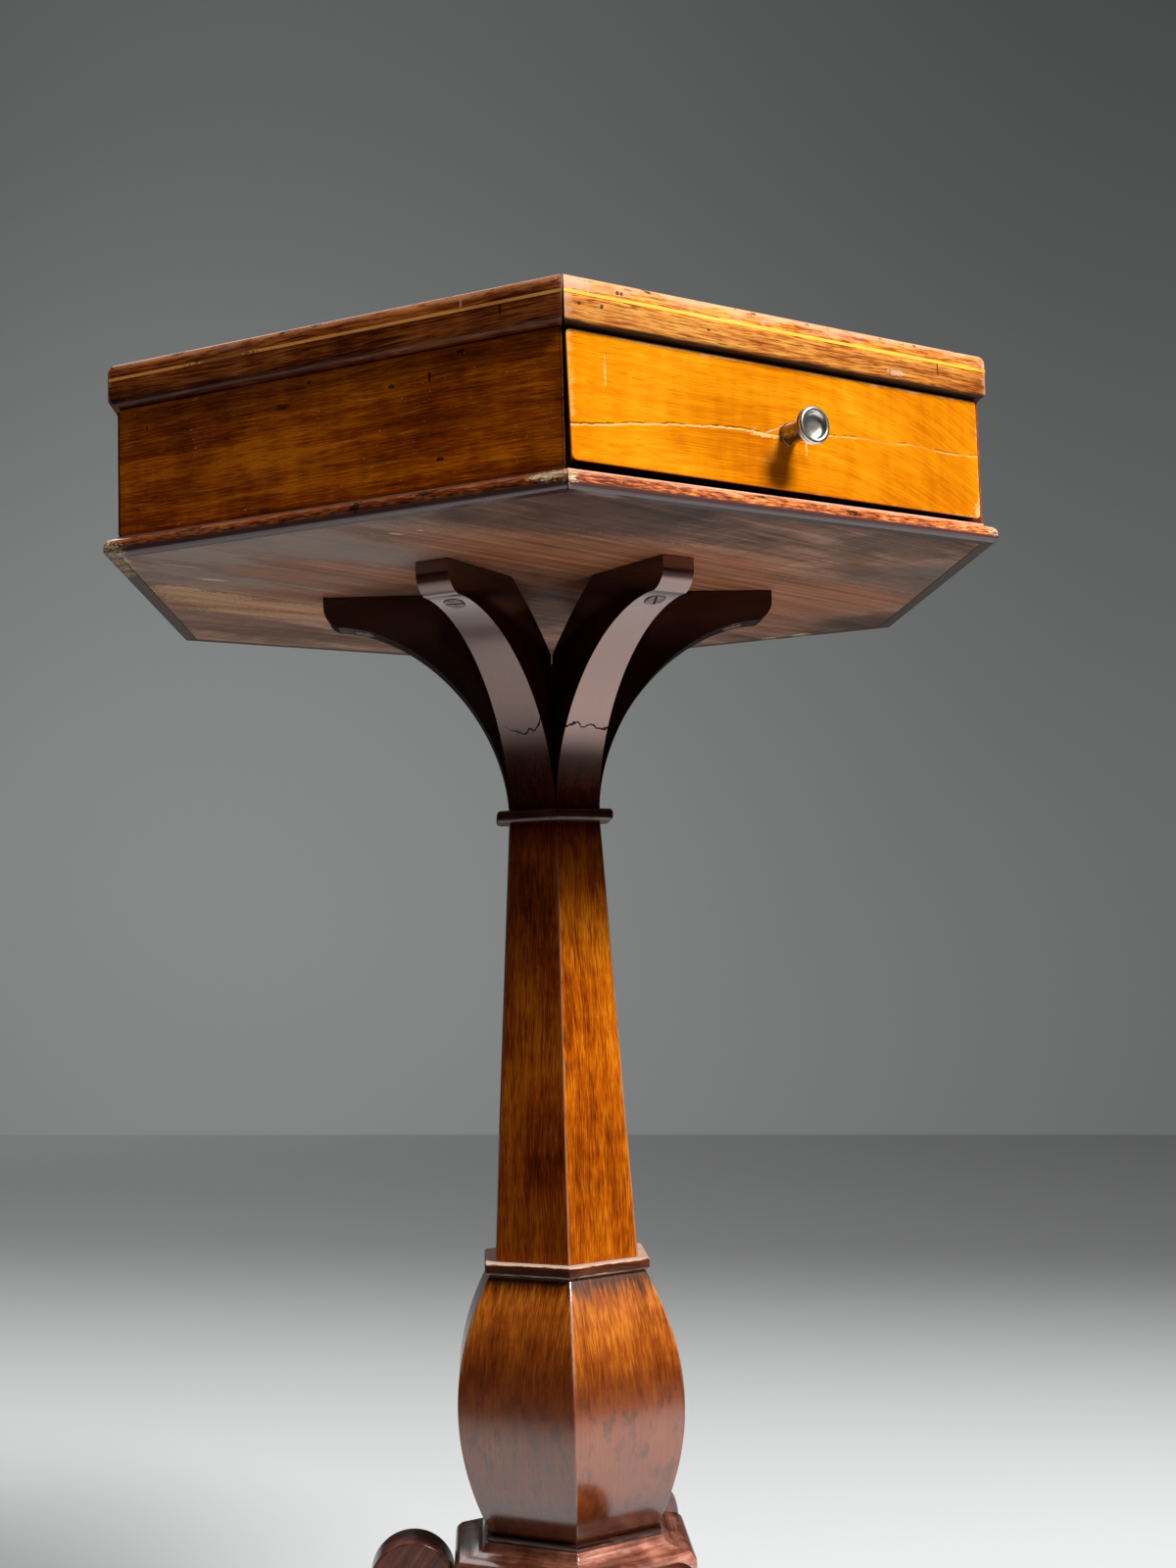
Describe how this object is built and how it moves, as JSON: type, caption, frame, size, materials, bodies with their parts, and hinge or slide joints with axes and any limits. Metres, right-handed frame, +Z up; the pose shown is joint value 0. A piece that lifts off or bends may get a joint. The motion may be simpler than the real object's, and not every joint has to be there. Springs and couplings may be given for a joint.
{
  "type": "side table",
  "caption": "Hexagonal pedestal side table with a drawer under its top, curved bracket arms, a tapered faceted column with a baluster bulb, and scrolled legs.",
  "frame": {"origin": "on the floor, at the middle of the footprint's box; the column's axis is 6.4 mm behind it on +Y", "axes": "+Z up, -Y the way the drawer opens, +X to the right of the drawer as one faces it"},
  "size_m": [0.4798, 0.4284, 0.7398],
  "materials": {
    "top_veneer": "old shellac polish",
    "edge_wood": "old shellac polish, worn at the edges",
    "pale_inlay": "shellac polish",
    "box_veneer": "old shellac polish",
    "drawer_veneer": "old shellac polish",
    "underside_wood": "bare, dusty",
    "lining_wood": "bare",
    "dark_polish": "glossy dark polish",
    "collar_wood": "shellac polish",
    "column_veneer": "glossy shellac polish",
    "plinth_wood": "glossy shellac polish",
    "knob_metal": "aged, grey",
    "screw_steel": "aged"
  },
  "bodies": {
    "table": {"top_board": "top_veneer", "top_edge_1": "edge_wood", "top_edge_2": "edge_wood", "top_edge_3": "edge_wood", "top_edge_4": "edge_wood", "top_edge_5": "edge_wood", "top_edge_6": "edge_wood", "top_stringing_1": "pale_inlay", "top_stringing_2": "pale_inlay", "top_stringing_3": "pale_inlay", "top_stringing_4": "pale_inlay", "top_stringing_5": "pale_inlay", "top_stringing_6": "pale_inlay", "side_panel_1": "box_veneer", "side_panel_2": "box_veneer", "side_panel_3": "box_veneer", "side_panel_4": "box_veneer", "side_panel_5": "box_veneer", "bottom_board": "underside_wood", "bottom_edge_1": "edge_wood", "bottom_edge_2": "edge_wood", "bottom_edge_3": "edge_wood", "bottom_edge_4": "edge_wood", "bottom_edge_5": "edge_wood", "bottom_edge_6": "edge_wood", "drawer_runner_left": "lining_wood", "drawer_runner_right": "lining_wood", "drawer_guide_left": "lining_wood", "drawer_guide_right": "lining_wood", "drawer_stop": "lining_wood", "bracket_arm_1": "dark_polish", "bracket_arm_2": "dark_polish", "bracket_arm_3": "dark_polish", "bracket_arm_4": "dark_polish", "bracket_arm_5": "dark_polish", "bracket_arm_6": "dark_polish", "bracket_screw_1": "screw_steel", "bracket_screw_2": "screw_steel", "bracket_screw_3": "screw_steel", "bracket_screw_4": "screw_steel", "bracket_screw_5": "screw_steel", "bracket_screw_6": "screw_steel", "upper_collar": "collar_wood", "shaft": "column_veneer", "lower_collar": "collar_wood", "bulb": "column_veneer", "foot_fillet": "collar_wood", "plinth": "plinth_wood", "leg_1": "plinth_wood", "leg_2": "plinth_wood", "leg_3": "plinth_wood"},
    "drawer": {"drawer_front": "drawer_veneer", "drawer_side_left": "lining_wood", "drawer_side_right": "lining_wood", "drawer_back": "lining_wood", "drawer_bottom": "lining_wood", "knob": "knob_metal", "knob_screw": "screw_steel"}
  },
  "joints": [
    {"name": "drawer_slide", "type": "slide", "parent": "table", "child": "drawer", "axis": [0, -1, 0], "range_m": [0, 0.26]}
  ]
}
